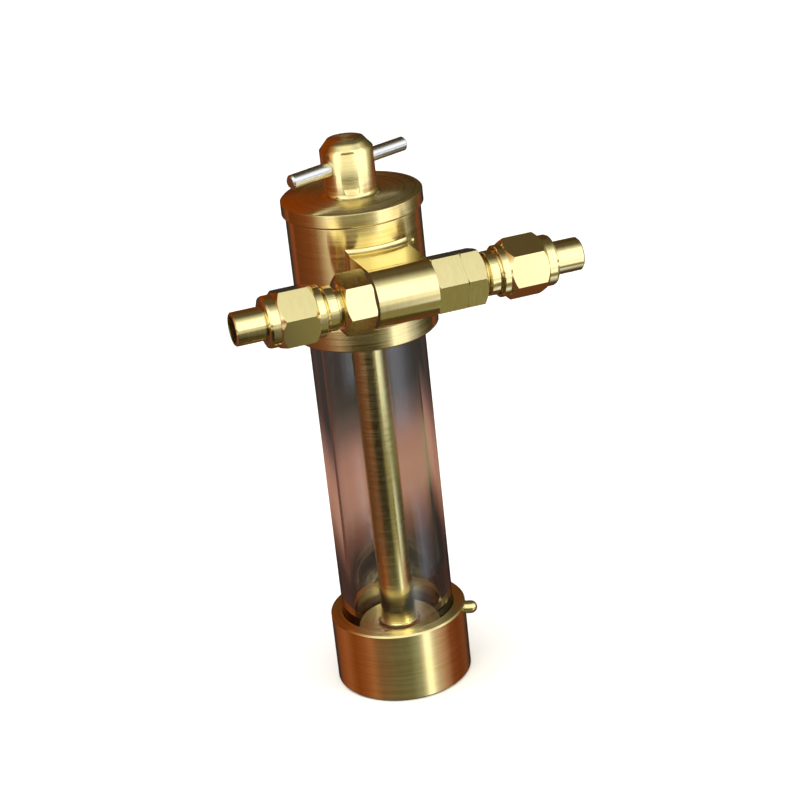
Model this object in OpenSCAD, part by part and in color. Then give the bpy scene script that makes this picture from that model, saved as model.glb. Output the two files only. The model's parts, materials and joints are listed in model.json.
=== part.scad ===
// Oil injector for a model steam engine: a sight glass between a turned base cup and a turned head,
// a filler cap with a cross bar, and a steam line with a union at each end on the front of the head.
// Millimetres. The origin is the centre of the base's underside, +Z is up, and the steam line
// runs along X at the front, which is -Y.

/* [Base cup] */

// Outer radius of the base cup
base_r = 11; // [8:0.1:15]
// Height of the base cup's rim
base_h = 11.86; // [8:0.02:18]
// Height of the raised floor inside the glass
floor_z = 9.4; // [6:0.1:11]
// Radius of the raised floor, a little inside the glass
floor_r = 6.9; // [5:0.05:7.1]
// Height of the groove's bottom, under the lower glass seal
groove_z = 4; // [3:0.1:6]
// Depth of the counterbore in the underside
counter_z = 2.5; // [2:0.1:3]
// Edge break on the turned edges
edge = 0.25; // [0.1:0.05:0.6]

/* [Rim peg] */

// Direction of the round-ended peg on the rim, in degrees from +X
peg_az = -25; // [-90:1:90]
// Distance of the peg's axis below the rim
peg_drop = 1.2; // [1.15:0.05:4]
// Radius of the peg
peg_r = 1.05; // [0.6:0.05:1.1]
// How far the peg stands out of the cup
peg_out = 1.95; // [1.2:0.05:4]

/* [Sight glass] */

// Outer radius of the glass tube
glass_r = 9.05; // [7:0.05:11]
// Bore radius of the glass tube
glass_bore_r = 7.2; // [6:0.05:9]
// Thickness of each glass seal
glass_seal_t = 1; // [0.5:0.1:2]

/* [Centre rod] */

// Radius of the centre rod
rod_r = 2.75; // [2:0.05:3]
// Radius of the rod's shoulder, just above the floor
rod_foot_r = 3.2; // [3.1:0.05:5]
// Thickness of that shoulder
rod_foot_t = 0.4; // [0.3:0.1:1.5]
// Radius of the washer under the shoulder
rod_seal_r = 3.4; // [3:0.1:6]
// Thickness of that washer
rod_seal_t = 0.3; // [0.2:0.1:1]
// Radius of the screw that ties the rod to the base, and of the rod's upper spigot
tie_r = 1.5; // [1:0.1:2]
// Radius and thickness of the tie screw's head
tie_head_r = 3.3; // [2.5:0.1:4]
tie_head_t = 1.7; // [1.4:0.1:2]
// Thickness of the washer above that head
tie_washer_t = 0.4; // [0.2:0.1:0.6]
// How far the tie screw reaches into the rod
tie_reach = 6; // [3:0.5:12]

/* [Head] */

// Radius of the head above its collar
head_r = 10.3; // [8:0.1:14]
// How far the collar at the foot of the head stands out
collar_lip = 1; // [0.4:0.1:2.5]
// Height of the head's underside
head_z0 = 60.75; // [50:0.05:70]
// Height of the collar's top
collar_z1 = 64.4; // [62:0.1:67]
// Height of the head's top face
head_z1 = 80.06; // [75:0.02:85]
// Height of the glass socket's end
socket_z1 = 65.2; // [63:0.1:67]
// Height of the ledge that the rod's bridge sits on
ledge_z = 66.6; // [66:0.1:68]
// Radius of the throat below the ledge
throat_r = 4.8; // [4:0.1:5]
// Thickness and width of the bridge across the head
bridge_t = 3; // [2:0.1:4]
bridge_w = 4.8; // [4:0.1:6]
// Radius of the chamber above the ledge
chamber_r = 5.4; // [5.2:0.1:5.8]
// Radius of the filler thread's hole
filler_r = 6; // [5:0.1:7]
// Height where the filler thread starts
filler_z0 = 73.4; // [72:0.1:75]
// Radius of the recess for the cap seal
cap_seal_r = 7.4; // [7:0.1:9]
// Thickness of the cap seal
cap_seal_t = 1; // [0.6:0.1:1.5]

/* [Filler cap] */

// How far the cap's disc stands out over the head
cap_lip = 0.5; // [0.2:0.1:2]
// Depth and pitch of the cap's threaded spigot
spigot_l = 6; // [4:0.1:6]
cap_pitch = 1; // [0.75:0.05:1.5]
// Height of the cap's top face
cap_z1 = 82.37; // [81:0.01:85]
// Radius of the knob
knob_r = 4.05; // [3:0.05:6]
// Height of the knob's top
knob_z1 = 90.8; // [89:0.1:94]
// Radius of the knob's flat top, inside its cone
knob_top_r = 2.8; // [2:0.05:3.8]
// Height of the cone round the knob's top
knob_cone_h = 1.5; // [0.3:0.1:2.5]
// Radius of the fillet at the foot of the knob
knob_fillet = 0.8; // [0.2:0.1:2]
// Direction of the knob's milled flat, in degrees from +X
flat_az = -105.6; // [-180:0.1:180]
// Width of the milled flat
flat_w = 2.35; // [1:0.05:4]
// Bottom and top of the milled flat
flat_z0 = 83.95; // [83.3:0.05:86]
flat_z1 = 89.3; // [88:0.1:90]
// Direction of the cross bar
bar_az = 21.9; // [0:0.1:90]
// Height of the cross bar
bar_z = 86.95; // [85:0.05:88]
// Radius of the cross bar
bar_r = 1.1; // [0.6:0.05:1.5]
// How far the cross bar's two ends reach past the radius of the cap's edge
bar_past_a = 0.4; // [-2:0.05:3]
bar_past_b = 0.6; // [-2:0.05:3]

/* [Steam line] */

// Position of the steam line's axis
pipe_y = -17.8; // [-25:0.05:-14]
pipe_z = 71.6; // [68:0.05:75]
// Radius of the barrel that the two unions screw into
barrel_r = 4.39; // [3.5:0.01:6]
// Left and right end of the barrel
barrel_x0 = -4.5; // [-8:0.05:-3]
barrel_x1 = 4.8; // [3:0.05:8]
// Radius of the fillet where the arm meets the head
arm_fillet = 1.1; // [0.3:0.1:2]
// Radius of the steam passage
steam_r = 1.5; // [1:0.05:2]
// Radius of the small port between the steam line and the oil
port_r = 0.6; // [0.3:0.05:1]

/* [Unions] */

// Radius of the tapped holes in the barrel's ends
tap_r = 2.9; // [2.6:0.05:3.3]
// Hexagon width across flats, of the lock nut and both union bodies
hex_af = 8; // [7.6:0.1:12]
// Hexagon width across flats of the union nuts
nut_af = 8.1; // [8.05:0.05:12]
// Thickness of the washer between the barrel and the left union
barrel_seal_t = 0.3; // [0.2:0.05:1]
// Thickness of the lock nut on the right
lock_t = 4.5; // [2:0.1:6]
// How much further out the right union sits than the left one
right_shift = 3.3; // [1:0.1:6]
// Angles of a hexagon corner, from the front upwards
hex_left_turn = 40.8; // [0:0.1:60]
hex_right_turn = 12; // [0:0.5:60]
nut_left_turn = 12.5; // [0:0.5:60]
nut_right_turn = 38; // [0:0.5:60]
// Distance from the centre to the outer face of the left union body's hexagon
hex_face = 9.4; // [8:0.1:10]
// Distance from the centre to the ring that starts the male thread, left and right
ring_left = 10.15; // [9.8:0.05:10.6]
ring_right = 13.4; // [12.9:0.05:13.6]
// Width of that ring
ring_w = 1.3; // [0.6:0.1:1.4]
// Radius of the neck between the hexagon and the ring
neck_r = 2.65; // [2:0.05:3]
// Distance from the centre to the end of the left male thread
body_end = 15.6; // [14:0.1:17]
// Radius of the union's male thread
thread_r = 3.35; // [3.2:0.05:3.6]
// Pitch of the union's thread
thread_p = 0.75; // [0.5:0.05:1.25]
// Thickness of the washer inside each union
union_seal_t = 0.6; // [0.3:0.1:1.2]
// Thickness of the nipple's collar
nipple_collar_t = 1.3; // [0.8:0.1:2]
// Distance from the centre to the inner end of each union nut, left and right
nut_in_left = 12.15; // [11.8:0.05:13]
nut_in_right = 15.2; // [14.8:0.05:16]
// Length of the round skirt before each nut's hexagon, left and right
skirt_left = 1.1; // [0.3:0.05:2]
skirt_right = 1; // [0.3:0.05:2]
// Radius of the round skirt
skirt_r = 3.9; // [3.75:0.05:4]
// Distance from the centre to the end of the left nut's hexagon
nut_face = 19.05; // [18.5:0.05:20]
// Radius and length of the round shoulder outside the hexagon
shoulder_r = 3.85; // [3.5:0.05:3.9]
shoulder_l = 1.7; // [1:0.1:3]
// Radius of the nipple's tail
nipple_r = 2.5; // [2.2:0.05:2.7]
// Radius of the pipe socket in the nipple's tail
pipe_r = 2; // [1.6:0.05:2.2]
// Depth of the pipe socket
pipe_depth = 6; // [3:0.1:7]
// Distance of the nipple's end from the centre, on the left
nipple_end = 25.3; // [24:0.1:30]

/* [Hidden] */

brass = [0.80, 0.63, 0.28];
steel = [0.72, 0.73, 0.74];
seal_dark = [0.12, 0.10, 0.09];
fibre = [0.45, 0.16, 0.09];
// Clearances: of a screwed or pressed piece, of a seal, of the glass, and of a nut on its thread
gap = 0.02;
seal_gap = 0.05;
glass_gap = 0.1;
nut_gap = 0.05;
glass_z0 = groove_z + glass_seal_t;
glass_z1 = socket_z1 - glass_seal_t;
socket_r = glass_r + glass_gap;
recess_z = head_z1 - cap_seal_t - gap;
peg_z = base_h - peg_drop;
peg_tip = base_r + peg_out;
peg_root = socket_r + 0.45;
counter_r = tie_head_r + 0.4;
collar_r = head_r + collar_lip;
cap_r = head_r + cap_lip;
bar_reach_a = cap_r + bar_past_a;
bar_reach_b = cap_r + bar_past_b;
cap_neck_r = filler_r - 0.6;
bridge_z1 = ledge_z + bridge_t;
tie_head_z = counter_z - tie_washer_t - tie_head_t;
rod_z0 = floor_z + rod_seal_t;
arm_top = pipe_z + barrel_r;
barrel_l = barrel_x1 - barrel_x0;
stub_r = tap_r - gap;
stub_left = 1.4;
stub_right = 1.7;
collar_in_r = thread_r - 0.2;
seal_end = body_end + union_seal_t;
collar_end = seal_end + nipple_collar_t;
nut_floor = collar_end + 0.1;
nut_end = nut_face + shoulder_l;

// A ring between two radii and two heights
module ring(r0, r1, z0, z1) {
  difference() {
    translate([0, 0, z0]) cylinder(r = r1, h = z1 - z0);
    translate([0, 0, z0 - 1]) cylinder(r = r0, h = z1 - z0 + 2);
  }
}

// Places children on the steam line: the child's +Z points outwards on the given side
module on_line(side) {
  translate([0, pipe_y, pipe_z]) rotate([0, 90 * side, 0]) children();
}

// A hexagonal prism along Z with a corner at the given angle from the front upwards
module hexagon(side, turn, af, s0, s1) {
  translate([0, 0, s0])
    rotate([0, 0, side > 0 ? -90 - turn : turn - 90])
      cylinder(r = af / 2 / cos(30), h = s1 - s0, $fn = 6);
}

// Outline points of shallow thread grooves on a shaft, from s0 outwards to s1
function grooves(r, s0, s1, pitch, depth) =
  let (n = floor((s1 - s0) / pitch))
  [for (i = [0 : n - 1]) each [
    [r, s0 + i * pitch + 0.15 * pitch],
    [r - depth, s0 + i * pitch + 0.5 * pitch],
    [r, s0 + i * pitch + 0.85 * pitch]
  ]];

module base_cap() {
  color(brass)
    difference() {
      rotate_extrude()
        polygon([
          [counter_r, 0], [base_r - edge, 0], [base_r, edge],
          [base_r, base_h - edge], [base_r - edge, base_h],
          [socket_r, base_h], [socket_r, groove_z],
          [floor_r, groove_z], [floor_r, floor_z - 0.2], [floor_r - 0.2, floor_z],
          [tie_r + 0.1, floor_z], [tie_r + 0.1, counter_z], [counter_r, counter_z]
        ]);
      rotate([0, 0, peg_az]) translate([peg_root - gap, 0, peg_z]) rotate([0, 90, 0])
        cylinder(r = peg_r + gap, h = base_r);
    }
}

module rim_peg() {
  color(brass)
    rotate([0, 0, peg_az]) translate([0, 0, peg_z]) rotate([0, 90, 0])
      union() {
        translate([0, 0, peg_root]) cylinder(r = peg_r, h = peg_tip - peg_r - peg_root);
        translate([0, 0, peg_tip - peg_r]) sphere(r = peg_r);
      }
}

module lower_glass_seal() {
  color(seal_dark) ring(floor_r + seal_gap, socket_r - seal_gap, groove_z, glass_z0);
}

module glass_tube() {
  color([0.55, 0.60, 0.62, 0.35])
    rotate_extrude()
      polygon([
        [glass_bore_r, glass_z0 + 0.3], [glass_bore_r + 0.3, glass_z0],
        [glass_r - 0.3, glass_z0], [glass_r, glass_z0 + 0.3],
        [glass_r, glass_z1 - 0.3], [glass_r - 0.3, glass_z1],
        [glass_bore_r + 0.3, glass_z1], [glass_bore_r, glass_z1 - 0.3]
      ]);
}

module upper_glass_seal() {
  color(seal_dark) ring(glass_bore_r, socket_r - seal_gap, glass_z1, socket_z1);
}

module centre_rod() {
  color(brass)
    difference() {
      rotate_extrude()
        polygon([
          [0, rod_z0], [rod_foot_r - 0.1, rod_z0], [rod_foot_r, rod_z0 + 0.1],
          [rod_foot_r, rod_z0 + rod_foot_t - 0.1], [rod_foot_r - 0.1, rod_z0 + rod_foot_t],
          [rod_r, rod_z0 + rod_foot_t], [rod_r, ledge_z], [tie_r - gap, ledge_z],
          [tie_r - gap, bridge_z1 - 0.3], [tie_r - 0.3, bridge_z1], [0, bridge_z1]
        ]);
      translate([0, 0, rod_z0 - 1]) cylinder(r = tie_r + gap, h = tie_reach + 2);
    }
}

module rod_seal() {
  color(seal_dark) ring(tie_r + 0.1, rod_seal_r, floor_z, rod_z0);
}

// Slotted cheese-head screw up through the base into the rod
module tie_screw() {
  neck_z = tie_head_z + tie_head_t;
  tip_z = rod_z0 + tie_reach;
  slot_w = 0.8;
  slot_d = 0.7;
  color(steel)
    difference() {
      rotate_extrude()
        polygon([
          [0, tie_head_z], [tie_head_r - 0.3, tie_head_z], [tie_head_r, tie_head_z + 0.3],
          [tie_head_r, neck_z], [tie_r, neck_z],
          [tie_r, tip_z - 0.3], [tie_r - 0.3, tip_z], [0, tip_z]
        ]);
      translate([-tie_head_r - 1, -slot_w / 2, tie_head_z - 1])
        cube([2 * tie_head_r + 2, slot_w, slot_d + 1]);
    }
}

module tie_washer() {
  color(fibre) ring(tie_r + 0.1, tie_head_r + 0.1, counter_z - tie_washer_t, counter_z);
}

// The arm and barrel before they are fitted to the head: flat on top, round under the steam line
module arm_blank() {
  translate([barrel_x0, 0, 0]) rotate([90, 0, 90])
    linear_extrude(barrel_l)
      union() {
        translate([pipe_y, pipe_z]) circle(r = barrel_r);
        translate([pipe_y, pipe_z - barrel_r]) square([-pipe_y - head_r / 2, 2 * barrel_r]);
      }
}

// Plan of the fillet down one side of the arm, against the head's wall
module side_fillet_plan(x, side) {
  cx = x + side * arm_fillet;
  cy = -sqrt(pow(head_r + arm_fillet, 2) - cx * cx);
  k = (head_r - 0.2) / (head_r + arm_fillet);
  difference() {
    polygon([[x - side * 0.3, cy], [cx, cy], [cx * k, cy * k], [x - side * 0.3, cy * k]]);
    translate([cx, cy]) circle(r = arm_fillet + gap);
  }
}

// Root of the arm, spread by fillets against the head: one down each side, and one over the top
// that runs on over both of them
module arm_root() {
  root_r = head_r + arm_fillet;
  difference() {
    translate([0, 0, pipe_z - barrel_r])
      linear_extrude(2 * barrel_r + arm_fillet)
        union() {
          translate([barrel_x0, -root_r]) square([barrel_l, root_r - head_r / 2]);
          side_fillet_plan(barrel_x0, -1);
          side_fillet_plan(barrel_x1, 1);
        }
    rotate_extrude()
      union() {
        translate([root_r, arm_top + arm_fillet]) circle(r = arm_fillet + gap);
        translate([root_r, arm_top]) square([root_r, 2 * arm_fillet]);
      }
  }
}

// Small port from the steam passage to the chamber
module steam_port() {
  translate([0, pipe_y, pipe_z]) rotate([-90, 0, 0])
    cylinder(r = port_r, h = -pipe_y - chamber_r + 1);
}

module head_body() {
  color(brass)
    difference() {
      rotate_extrude()
        polygon([
          [throat_r, socket_z1], [socket_r, socket_z1], [socket_r, head_z0],
          [collar_r - edge, head_z0], [collar_r, head_z0 + edge],
          [collar_r, collar_z1 - edge], [collar_r - edge, collar_z1],
          [head_r, collar_z1], [head_r, head_z1 - edge], [head_r - edge, head_z1],
          [cap_seal_r, head_z1], [cap_seal_r, recess_z], [filler_r, recess_z],
          [filler_r, filler_z0], [chamber_r, filler_z0], [chamber_r, ledge_z], [throat_r, ledge_z]
        ]);
      steam_port();
      // Hole for the pin in the head's wall
      wall_pin_place() translate([0, 0, -1.2]) cylinder(r = 0.45 + gap, h = 5);
    }
}

// The arm and its barrel, soldered to the head with a fillet over the top and down each side
module steam_arm() {
  color(brass)
    difference() {
      union() {
        arm_blank();
        arm_root();
      }
      translate([0, 0, collar_z1 - 5]) cylinder(r = head_r + gap, h = head_z1 - collar_z1 + 10);
      // Steam passage along the barrel, tapped at both ends
      on_line(-1) translate([0, 0, -barrel_x1 - 1]) cylinder(r = steam_r, h = barrel_l + 2);
      on_line(1) translate([0, 0, stub_right - 0.1]) cylinder(r = tap_r, h = barrel_x1);
      on_line(-1) translate([0, 0, stub_left - 0.1]) cylinder(r = tap_r, h = -barrel_x0);
      steam_port();
    }
}

// Flat bridge across the head, milled from a disc, that holds the rod's upper end
module rod_bridge() {
  color(brass)
    difference() {
      intersection() {
        translate([0, 0, ledge_z]) cylinder(r = chamber_r - gap, h = bridge_t);
        translate([-chamber_r, -bridge_w / 2, ledge_z]) cube([2 * chamber_r, bridge_w, bridge_t]);
      }
      translate([0, 0, ledge_z - 1]) cylinder(r = tie_r, h = bridge_t + 2);
    }
}

// The pin sits in the head's wall, just right of the arm
module wall_pin_place() {
  rotate([0, 0, atan2(-8.2, 6.3)]) translate([head_r, 0, 75.6]) rotate([0, 90, 0]) children();
}

module wall_pin() {
  color(brass)
    wall_pin_place()
      rotate_extrude()
        polygon([[0, -1.2], [0.45, -1.2], [0.45, 0.12], [0.25, 0.24], [0, 0.24]]);
}

module filler_cap() {
  bar_gap = bar_r + 0.01;
  neck_z = head_z1 - cap_seal_t - 0.2;
  color(brass)
    difference() {
      union() {
        rotate_extrude()
          polygon(concat(
            [[0, head_z1 - spigot_l], [filler_r - 0.55, head_z1 - spigot_l]],
            grooves(filler_r - 0.05, head_z1 - spigot_l + 0.1, neck_z - 0.3, cap_pitch, 0.45),
            [
              [filler_r - 0.05, neck_z - 0.1], [cap_neck_r, neck_z], [cap_neck_r, head_z1 + gap],
              [cap_r - 0.15, head_z1 + gap], [cap_r, head_z1 + gap + 0.15],
              [cap_r, cap_z1 - edge], [cap_r - edge, cap_z1],
              [knob_r, cap_z1], [knob_r, knob_z1 - knob_cone_h],
              [knob_top_r, knob_z1], [0, knob_z1]
            ]
          ));
        // Fillet at the foot of the knob
        difference() {
          ring(knob_r - 0.3, knob_r + knob_fillet, cap_z1 - 0.1, cap_z1 + knob_fillet);
          rotate_extrude()
            translate([knob_r + knob_fillet, cap_z1 + knob_fillet]) circle(r = knob_fillet + gap);
        }
      }
      // Hole for the cross bar
      translate([0, 0, bar_z]) rotate([0, 90, bar_az])
        translate([0, 0, -2 * knob_r]) cylinder(r = bar_gap, h = 4 * knob_r);
      // Milled flats, front and back
      for (a = [0, 180])
        rotate([0, 0, flat_az + a])
          translate([sqrt(knob_r * knob_r - flat_w * flat_w / 4), -flat_w, flat_z0])
            cube([knob_r, 2 * flat_w, flat_z1 - flat_z0]);
    }
}

module cross_bar() {
  c = 0.3;
  color(steel)
    rotate([0, 0, bar_az]) translate([-bar_reach_a, 0, bar_z]) rotate([0, 90, 0])
      rotate_extrude()
        polygon([
          [0, 0], [bar_r - c, 0], [bar_r, c],
          [bar_r, bar_reach_a + bar_reach_b - c], [bar_r - c, bar_reach_a + bar_reach_b],
          [0, bar_reach_a + bar_reach_b]
        ]);
}

module cap_seal() {
  color(seal_dark)
    ring(cap_neck_r + seal_gap, cap_seal_r - 2 * seal_gap, head_z1 - cap_seal_t, head_z1);
}

// Union body: threaded stub in the barrel, hexagon, neck, ring and male thread.
// The stub starts at s_stub, the hexagon at s_hex and the ring at s_ring; the hexagon's
// outer face and the thread's end sit a shift further out than the left ones.
module union_body(side, turn, s_stub, s_hex, s_ring, shift) {
  r = hex_af / 2 / cos(30);
  face = hex_face + shift;
  end = body_end + shift;
  color(brass)
    on_line(side)
      difference() {
        union() {
          intersection() {
            hexagon(side, turn, hex_af, s_hex, face);
            rotate_extrude()
              polygon([
                [0, s_hex], [r - 0.3, s_hex], [r + 0.1, s_hex + 0.25],
                [r + 0.1, face - 0.7], [r - 0.9, face], [0, face]
              ]);
          }
          rotate_extrude()
            polygon(concat(
              [
                [0, s_stub], [stub_r - 0.3, s_stub], [stub_r, s_stub + 0.3], [stub_r, s_hex + 0.5],
                [neck_r, face - 0.5], [neck_r, s_ring], [thread_r - 0.1, s_ring],
                [thread_r, s_ring + 0.1]
              ],
              grooves(thread_r, s_ring + ring_w, end - 0.3, thread_p, 0.35),
              [[thread_r, end - 0.3], [thread_r - 0.3, end], [0, end]]
            ));
        }
        translate([0, 0, s_stub - 1]) cylinder(r = steam_r, h = end - s_stub + 2);
      }
}

module union_seal(side, shift) {
  color(fibre)
    on_line(side) ring(steam_r + 0.1, collar_in_r - 0.1, body_end + shift, seal_end + shift);
}

module nipple(side, shift) {
  end = nipple_end + shift;
  inner = seal_end + shift;
  collar = collar_end + shift;
  color(brass)
    on_line(side)
      rotate_extrude()
        polygon([
          [steam_r, inner], [collar_in_r - 0.1, inner], [collar_in_r, inner + 0.1],
          [collar_in_r, collar - 0.2], [collar_in_r - 0.2, collar], [nipple_r, collar],
          [nipple_r, end - 0.2], [nipple_r - 0.2, end], [pipe_r, end],
          [pipe_r, end - pipe_depth], [steam_r, end - pipe_depth]
        ]);
}

// Union nut: a round skirt, the chamfered hexagon, and a rounded shoulder round the nipple
module union_nut(side, turn, s_in, skirt, shift) {
  r = nut_af / 2 / cos(30) + 0.05;
  face = nut_face + shift;
  end = nut_end + shift;
  color(brass)
    on_line(side)
      difference() {
        union() {
          intersection() {
            hexagon(side, turn, nut_af, s_in, face);
            rotate_extrude()
              polygon([
                [0, s_in], [skirt_r - 0.1, s_in], [skirt_r, s_in + 0.1], [skirt_r, s_in + skirt],
                [r, s_in + skirt + r - skirt_r], [r, face - 0.8], [shoulder_r + 0.1, face], [0, face]
              ]);
          }
          rotate_extrude()
            polygon([
              [0, face - 1], [shoulder_r, face - 1], [shoulder_r, end - 0.5],
              [shoulder_r - 0.15, end - 0.15], [shoulder_r - 0.5, end], [0, end]
            ]);
        }
        translate([0, 0, s_in - 1]) cylinder(r = thread_r + nut_gap, h = nut_floor + shift - s_in + 1);
        translate([0, 0, s_in - 1]) cylinder(r = nipple_r + nut_gap, h = end - s_in + 2);
      }
}

module lock_nut_right() {
  r = hex_af / 2 / cos(30);
  outer = barrel_x1 + lock_t;
  color(brass)
    on_line(1)
      difference() {
        intersection() {
          hexagon(1, hex_right_turn, hex_af, barrel_x1, outer);
          rotate_extrude()
            polygon([
              [0, barrel_x1], [r - 0.3, barrel_x1], [r + 0.1, barrel_x1 + 0.25],
              [r + 0.1, outer - 0.15], [r - 0.1, outer], [0, outer]
            ]);
        }
        translate([0, 0, barrel_x1 - 1]) cylinder(r = tap_r, h = lock_t + 2);
      }
}

module barrel_seal_left() {
  color(seal_dark)
    on_line(-1) ring(tap_r + seal_gap, barrel_r - 0.2, -barrel_x0, -barrel_x0 + barrel_seal_t);
}

module union_body_left() {
  union_body(-1, hex_left_turn, stub_left, -barrel_x0 + barrel_seal_t, ring_left, 0);
}

module union_body_right() {
  union_body(1, hex_right_turn, stub_right, barrel_x1 + lock_t, ring_right, right_shift);
}

module union_seal_left() { union_seal(-1, 0); }
module union_seal_right() { union_seal(1, right_shift); }
module nipple_left() { nipple(-1, 0); }
module nipple_right() { nipple(1, right_shift); }
module union_nut_left() { union_nut(-1, nut_left_turn, nut_in_left, skirt_left, 0); }
module union_nut_right() {
  union_nut(1, nut_right_turn, nut_in_right, skirt_right, right_shift);
}

base_cap();
rim_peg();
lower_glass_seal();
glass_tube();
upper_glass_seal();
centre_rod();
rod_seal();
tie_screw();
tie_washer();
head_body();
steam_arm();
rod_bridge();
wall_pin();
filler_cap();
cross_bar();
cap_seal();
union_body_left();
barrel_seal_left();
union_seal_left();
nipple_left();
union_nut_left();
lock_nut_right();
union_body_right();
union_seal_right();
nipple_right();
union_nut_right();
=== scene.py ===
# %% [markdown]
# # A sight-glass oil injector for a model steam line
#
# The real thing is a small displacement lubricator. Steam passes along the cross pipe, a little of it
# condenses in the glass, and the water lifts the oil out through a tiny port. Nearly every piece is brass
# turned on a small lathe, so this lesson is mostly about one question: how does polished, turned brass
# become believable? The answer has three parts. The surface needs its tool rings, the edges need to be
# broken, and above all the metal needs something to reflect.

# %% Load the engineering model and keep its box
import json
import math

import bmesh
import bpy
from mathutils import Matrix, Vector


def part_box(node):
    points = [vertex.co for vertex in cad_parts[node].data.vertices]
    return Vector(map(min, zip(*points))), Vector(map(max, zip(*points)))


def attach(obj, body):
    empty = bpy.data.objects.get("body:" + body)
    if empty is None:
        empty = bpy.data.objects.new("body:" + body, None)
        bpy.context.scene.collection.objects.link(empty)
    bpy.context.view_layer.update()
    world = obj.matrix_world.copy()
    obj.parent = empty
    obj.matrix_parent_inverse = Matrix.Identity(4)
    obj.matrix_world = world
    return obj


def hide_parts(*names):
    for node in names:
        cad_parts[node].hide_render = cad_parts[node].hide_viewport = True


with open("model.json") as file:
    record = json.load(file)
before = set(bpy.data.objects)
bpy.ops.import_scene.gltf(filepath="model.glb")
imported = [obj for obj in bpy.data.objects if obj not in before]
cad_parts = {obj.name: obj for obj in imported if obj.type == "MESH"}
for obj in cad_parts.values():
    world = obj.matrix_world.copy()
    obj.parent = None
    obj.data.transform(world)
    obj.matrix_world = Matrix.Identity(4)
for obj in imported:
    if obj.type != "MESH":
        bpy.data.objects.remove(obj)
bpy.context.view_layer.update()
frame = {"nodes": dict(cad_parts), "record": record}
nodes = frame["nodes"]
MM = 0.001
print("nodes loaded:", len(nodes))

# %% [markdown]
# ## Two small helpers
#
# Colours are chosen as the sRGB hex values that a colour picker shows, and shaders want linear light, so
# one function turns the first into the second. A second function adds a node to any node tree, sets its
# settings, and feeds its sockets from values or from other nodes. Everything below is built with it.


# %% Colour and node helpers
def colour(text):
    """Linear RGBA from an sRGB hex value such as F2DC9E."""
    parts = [int(text[i : i + 2], 16) / 255 for i in (0, 2, 4)]
    linear = [c / 12.92 if c <= 0.04045 else ((c + 0.055) / 1.055) ** 2.4 for c in parts]
    return (*linear, 1.0)


def put(tree, kind, inputs=None, stops=None, **settings):
    """Adds a node. inputs maps a socket's name or number to a value or to another node's output."""
    made = tree.nodes.new(kind)
    for key, value in settings.items():
        setattr(made, key, value)
    for key, value in (inputs or {}).items():
        if isinstance(value, bpy.types.NodeSocket):
            tree.links.new(value, made.inputs[key])
        elif isinstance(value, list) and isinstance(value[0], bpy.types.NodeSocket):
            for one in value:
                tree.links.new(one, made.inputs[key])
        else:
            made.inputs[key].default_value = value
    if stops:
        points = made.color_ramp.elements
        while len(points) < len(stops):
            points.new(1.0)
        for point, (position, value) in zip(points, stops):
            point.position = position
            point.color = colour(value) if isinstance(value, str) else (value, value, value, 1.0)
    return made


print("the grey 808080 is", round(colour("808080")[0], 3), "in linear light")

# %% [markdown]
# ## The camera
#
# The photograph looks down on the injector from a little to its left, and the injector leans in the
# picture. The lean is the camera's own roll, because the base stands flat. The lens is long, so the
# edges stay nearly parallel.

# %% Place the camera
LOOK_UP_DEG = 23.15
LOOK_ROUND_DEG = 17.16
ROLL_DEG = 6.51
DISTANCE = 0.328
TARGET = Vector((0.0, 0.0, 0.045))
LENS_MM = 93.7
SENSOR_MM = 36.0
SHIFT = (0.0291, 0.0235)

up_angle = math.radians(LOOK_UP_DEG)
round_angle = math.radians(LOOK_ROUND_DEG)
roll = math.radians(ROLL_DEG)
level_part = math.cos(up_angle)
to_left = math.sin(round_angle) * level_part
to_front = math.cos(round_angle) * level_part
to_camera = Vector((-to_left, -to_front, math.sin(up_angle)))
view_right = Vector((math.cos(round_angle), -math.sin(round_angle), 0.0))
view_up = to_camera.cross(view_right)
rolled_right = view_right * math.cos(roll) - view_up * math.sin(roll)
rolled_up = view_up * math.cos(roll) + view_right * math.sin(roll)

camera_data = bpy.data.cameras.new("photo_camera")
camera_data.lens = LENS_MM
camera_data.sensor_width = SENSOR_MM
camera_data.shift_x, camera_data.shift_y = SHIFT
camera_data.clip_start = 10 * MM
camera = bpy.data.objects.new("photo_camera", camera_data)
bpy.context.scene.collection.objects.link(camera)
turn = camera.matrix_world.to_3x3()
for row in range(3):
    turn[row][0] = rolled_right[row]
    turn[row][1] = rolled_up[row]
    turn[row][2] = to_camera[row]
camera.matrix_world = turn.to_4x4()
camera.location = TARGET + DISTANCE * to_camera
bpy.context.scene.camera = camera
print("camera at", [round(v, 4) for v in camera.location])

# %% [markdown]
# ## What the metal sees
#
# A mirror has no look of its own: it shows the room. Plain white light all round would turn the brass
# into pale plastic. So the world holds two things. The camera and every matt surface get plain soft
# white. Reflections, and what is seen through the glass, get a painted room: a brown bench low down,
# bright windows on the camera's side above it, a brown wall behind, and a ceiling that is pale on the
# windows' side. A picture of a real room could do this, but a few colour ramps need no file, and each
# patch of colour can be moved until its reflection lies in the right place.

# %% A plain view and an empty world
scene = bpy.context.scene
scene.view_settings.view_transform = "Standard"
scene.view_settings.look = "None"

world = bpy.data.worlds.new("studio")
scene.world = world
world.use_nodes = True
sky = world.node_tree
sky.nodes.clear()
print("view transform:", scene.view_settings.view_transform)

# %% [markdown]
# ## How far round, and how high
#
# Two numbers say where something stands in the room: how far round the injector it is, and how high. Both
# are turned into shares from 0 to 1, because a colour ramp runs from 0 to 1. The bench further on is
# painted round the injector too, so the first number gets a function that works in any node tree.

# %% Where a direction points
toward = Vector((to_camera.x, to_camera.y, 0.0)).normalized()


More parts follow.
